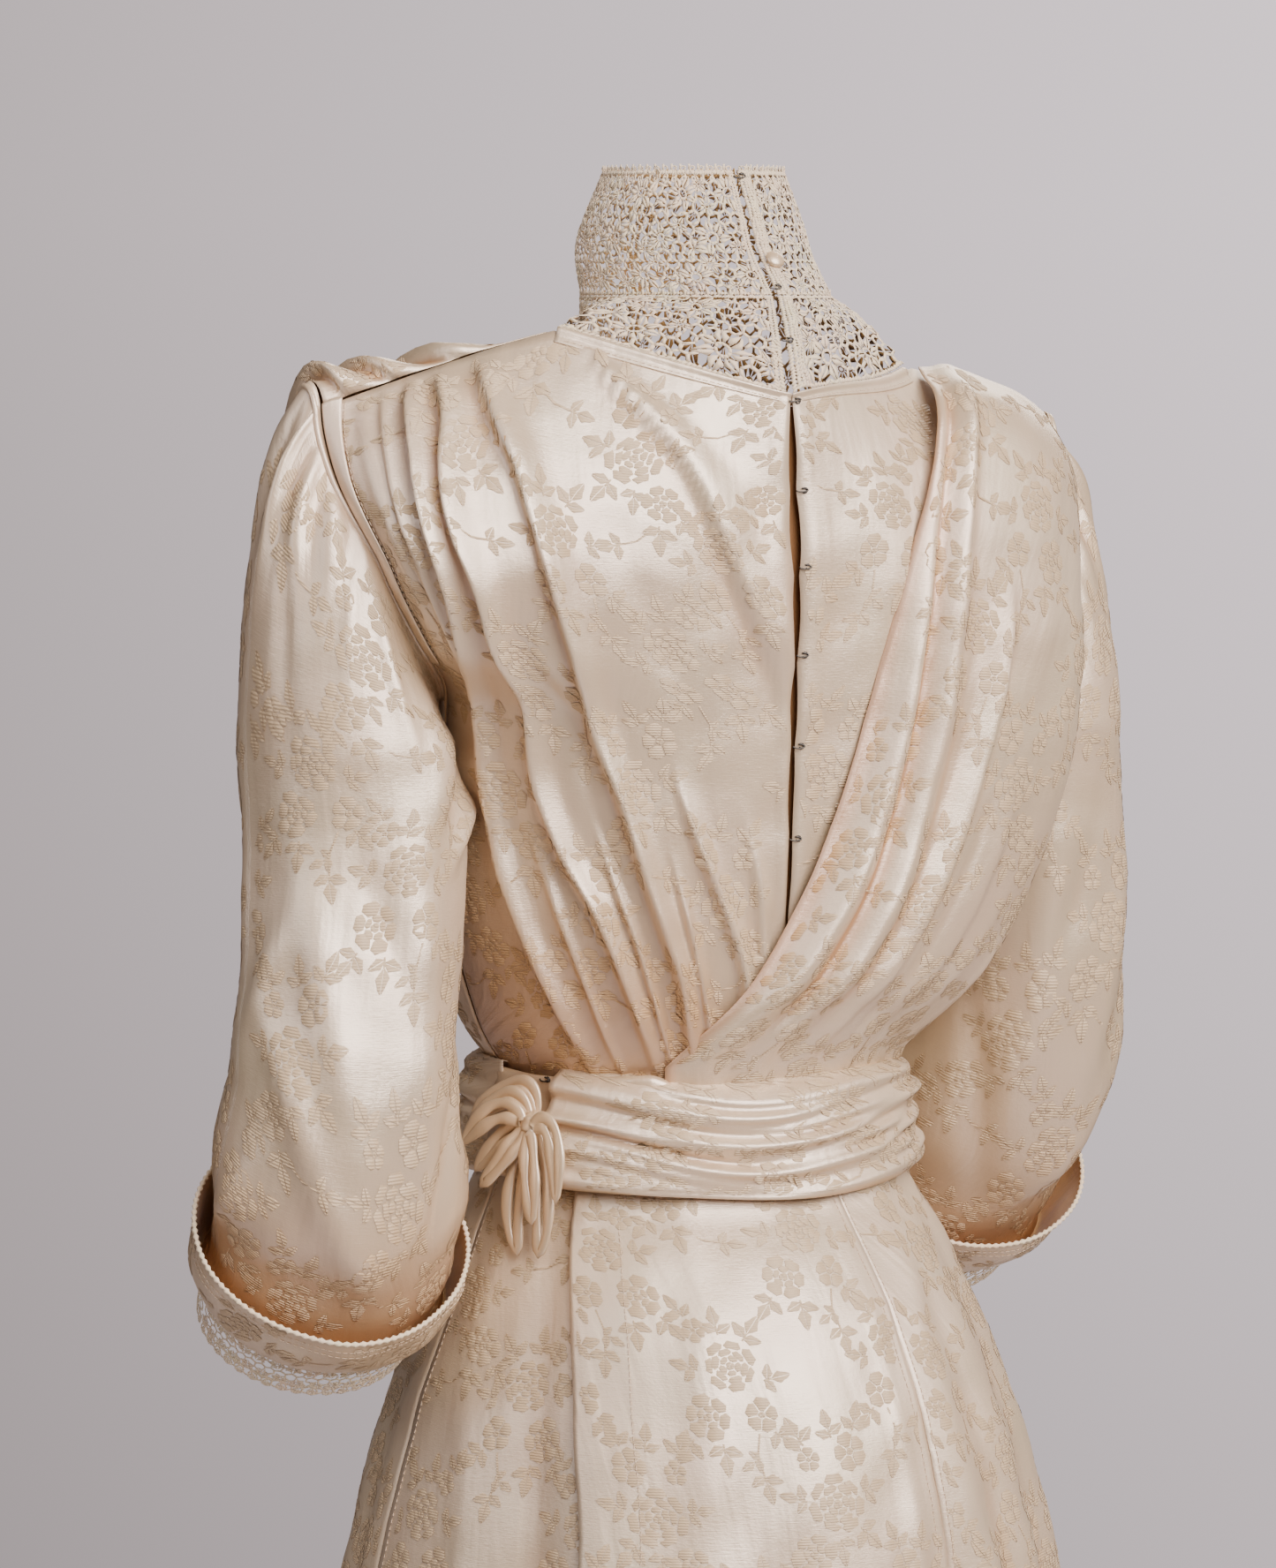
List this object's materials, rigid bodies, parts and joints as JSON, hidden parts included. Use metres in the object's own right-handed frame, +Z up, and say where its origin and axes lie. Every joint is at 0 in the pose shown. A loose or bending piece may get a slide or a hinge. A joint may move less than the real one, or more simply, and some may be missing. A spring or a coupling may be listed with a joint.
{
  "type": "tea gown",
  "caption": "Long ivory damask satin gown with a high lace collar, a draped surplice back, a wrapped sash and full sleeves with turned-up cuffs, in its worn shape.",
  "frame": {"origin": "centre of the neck at the height of the nape, in the middle of the neck opening, where the gown is held", "axes": "+Z up along the body, -Y the way the wearer faces, +X to the wearer's left"},
  "size_m": [0.6295, 0.5813, 1.487],
  "materials": {
    "ivory_satin": "soft lustrous silk satin",
    "cream_lace": "matt cotton lace"
  },
  "bodies": {
    "root": {"armhole_band_left": "ivory_satin", "bodice_back_left": "ivory_satin", "bodice_back_right": "ivory_satin", "bodice_front_left": "ivory_satin", "bodice_front_right": "ivory_satin", "bow_knot": "ivory_satin", "bow_loop_hanging_1": "ivory_satin", "bow_loop_hanging_2": "ivory_satin", "bow_loop_hanging_3": "ivory_satin", "bow_loop_lower_1": "ivory_satin", "bow_loop_lower_2": "ivory_satin", "bow_loop_right": "ivory_satin", "bow_loop_upper_1": "ivory_satin", "bow_loop_upper_2": "ivory_satin", "bow_loop_upper_3": "ivory_satin", "collar_button": "ivory_satin", "collar_lace_left": "cream_lace", "collar_lace_right": "cream_lace", "cuff_left": "ivory_satin", "cuff_right": "ivory_satin", "lace_cuff_left": "cream_lace", "lace_cuff_right": "cream_lace", "neckline_binding_left": "ivory_satin", "neckline_binding_right": "ivory_satin", "sash": "ivory_satin", "skirt_back": "ivory_satin", "skirt_front": "ivory_satin", "skirt_side_left": "ivory_satin", "skirt_side_right": "ivory_satin", "sleeve_left": "ivory_satin", "sleeve_right": "ivory_satin", "surplice_back_right": "ivory_satin", "waistband_left": "ivory_satin", "yoke_lace_left": "cream_lace", "yoke_lace_right": "cream_lace"}
  },
  "joints": []
}
